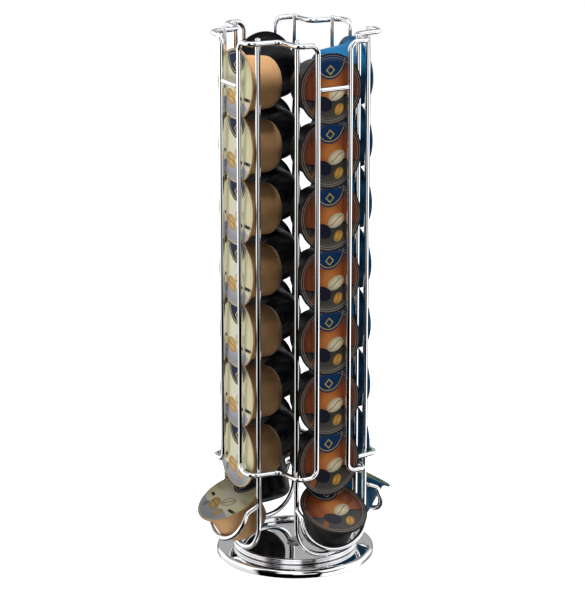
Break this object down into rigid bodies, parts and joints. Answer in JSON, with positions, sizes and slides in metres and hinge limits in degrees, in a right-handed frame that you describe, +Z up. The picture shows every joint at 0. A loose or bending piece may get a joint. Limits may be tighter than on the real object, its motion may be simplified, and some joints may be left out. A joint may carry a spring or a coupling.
{
  "type": "coffee capsule dispenser",
  "caption": "Turning wire rack on a chromed round base, with columns of upright coffee capsules that feed down to a tipped capsule in a wire hoop",
  "frame": {"origin": "on the surface that the rack stands on, under its turning axis", "axes": "+Z up along the turning axis; the four columns face -Y (front), +X (right), +Y (back) and -X (left)"},
  "size_m": [0.1518, 0.1518, 0.3844],
  "materials": {
    "chrome_plate": "mirror-bright plating on steel wire and sheet",
    "zinc_plated_steel": "plain plated rivet and washer",
    "acetal": "smooth, off-white",
    "rubber": "matte black",
    "capsule_charcoal": "satin moulded cup with a printed foil lid",
    "capsule_blue": "satin moulded cup with a printed foil lid",
    "capsule_black": "satin moulded cup with a printed foil lid",
    "capsule_tan": "satin moulded cup with a printed foil lid"
  },
  "bodies": {
    "base": {"base_plate": "chrome_plate", "foot_ring": "rubber", "glide_ring": "acetal", "pivot_bush": "acetal", "pivot_rivet": "zinc_plated_steel", "pivot_washer": "zinc_plated_steel"},
    "rack": {"turntable_plate": "chrome_plate", "column_rail_front": "chrome_plate", "column_rail_right": "chrome_plate", "column_rail_back": "chrome_plate", "column_rail_left": "chrome_plate", "cross_bar_front": "chrome_plate", "cross_bar_right": "chrome_plate", "cross_bar_back": "chrome_plate", "cross_bar_left": "chrome_plate", "cradle_hoop_front": "chrome_plate", "cradle_hoop_right": "chrome_plate", "cradle_hoop_back": "chrome_plate", "cradle_hoop_left": "chrome_plate", "corner_frame_front_right": "chrome_plate", "corner_frame_back_right": "chrome_plate", "corner_frame_back_left": "chrome_plate", "corner_frame_front_left": "chrome_plate"},
    "front_column": {"capsule_front_2": "capsule_charcoal", "capsule_front_3": "capsule_charcoal", "capsule_front_4": "capsule_charcoal", "capsule_front_5": "capsule_charcoal", "capsule_front_6": "capsule_charcoal", "capsule_front_7": "capsule_charcoal"},
    "front_top_capsule": {"capsule_front_1": "capsule_charcoal"},
    "front_cradle_capsule": {"cradle_capsule_front": "capsule_charcoal"},
    "right_column": {"capsule_right_2": "capsule_blue", "capsule_right_3": "capsule_blue", "capsule_right_4": "capsule_blue", "capsule_right_5": "capsule_blue", "capsule_right_6": "capsule_blue", "capsule_right_7": "capsule_blue"},
    "right_top_capsule": {"capsule_right_1": "capsule_blue"},
    "right_cradle_capsule": {"cradle_capsule_right": "capsule_blue"},
    "back_column": {"capsule_back_2": "capsule_black", "capsule_back_3": "capsule_black", "capsule_back_4": "capsule_black", "capsule_back_5": "capsule_black", "capsule_back_6": "capsule_black", "capsule_back_7": "capsule_black"},
    "back_top_capsule": {"capsule_back_1": "capsule_black"},
    "back_cradle_capsule": {"cradle_capsule_back": "capsule_black"},
    "left_column": {"capsule_left_2": "capsule_tan", "capsule_left_3": "capsule_tan", "capsule_left_4": "capsule_tan", "capsule_left_5": "capsule_tan", "capsule_left_6": "capsule_tan", "capsule_left_7": "capsule_tan"},
    "left_top_capsule": {"capsule_left_1": "capsule_tan"},
    "left_cradle_capsule": {"cradle_capsule_left": "capsule_tan"}
  },
  "joints": [
    {"name": "turntable_spin", "type": "hinge", "parent": "base", "child": "rack", "pos_m": [0, 0, 0], "axis": [0, 0, 1], "continuous": true},
    {"name": "front_cradle_tip", "type": "hinge", "parent": "rack", "child": "front_cradle_capsule", "pos_m": [0, -0.06257, 0.02256], "axis": [1, 0, 0], "range_deg": [0, 30]},
    {"name": "front_column_lift", "type": "slide", "parent": "rack", "child": "front_column", "axis": [0, 0, 1], "range_m": [0, 0.022]},
    {"name": "front_top_lift", "type": "slide", "parent": "front_column", "child": "front_top_capsule", "axis": [0, 0, 1], "range_m": [0, 0.06]},
    {"name": "right_cradle_tip", "type": "hinge", "parent": "rack", "child": "right_cradle_capsule", "pos_m": [0.06257, 0, 0.02256], "axis": [0, 1, 0], "range_deg": [0, 30]},
    {"name": "right_column_lift", "type": "slide", "parent": "rack", "child": "right_column", "axis": [0, 0, 1], "range_m": [0, 0.022]},
    {"name": "right_top_lift", "type": "slide", "parent": "right_column", "child": "right_top_capsule", "axis": [0, 0, 1], "range_m": [0, 0.06]},
    {"name": "back_cradle_tip", "type": "hinge", "parent": "rack", "child": "back_cradle_capsule", "pos_m": [0, 0.06257, 0.02256], "axis": [-1, 0, 0], "range_deg": [0, 30]},
    {"name": "back_column_lift", "type": "slide", "parent": "rack", "child": "back_column", "axis": [0, 0, 1], "range_m": [0, 0.022]},
    {"name": "back_top_lift", "type": "slide", "parent": "back_column", "child": "back_top_capsule", "axis": [0, 0, 1], "range_m": [0, 0.06]},
    {"name": "left_cradle_tip", "type": "hinge", "parent": "rack", "child": "left_cradle_capsule", "pos_m": [-0.06257, 0, 0.02256], "axis": [0, -1, 0], "range_deg": [0, 30]},
    {"name": "left_column_lift", "type": "slide", "parent": "rack", "child": "left_column", "axis": [0, 0, 1], "range_m": [0, 0.022]},
    {"name": "left_top_lift", "type": "slide", "parent": "left_column", "child": "left_top_capsule", "axis": [0, 0, 1], "range_m": [0, 0.06]}
  ],
  "couplings": [
    {"joint": "front_column_lift", "follows": "front_cradle_tip", "m_per_rad": 0.04125},
    {"joint": "right_column_lift", "follows": "right_cradle_tip", "m_per_rad": 0.04125},
    {"joint": "back_column_lift", "follows": "back_cradle_tip", "m_per_rad": 0.04125},
    {"joint": "left_column_lift", "follows": "left_cradle_tip", "m_per_rad": 0.04125}
  ]
}
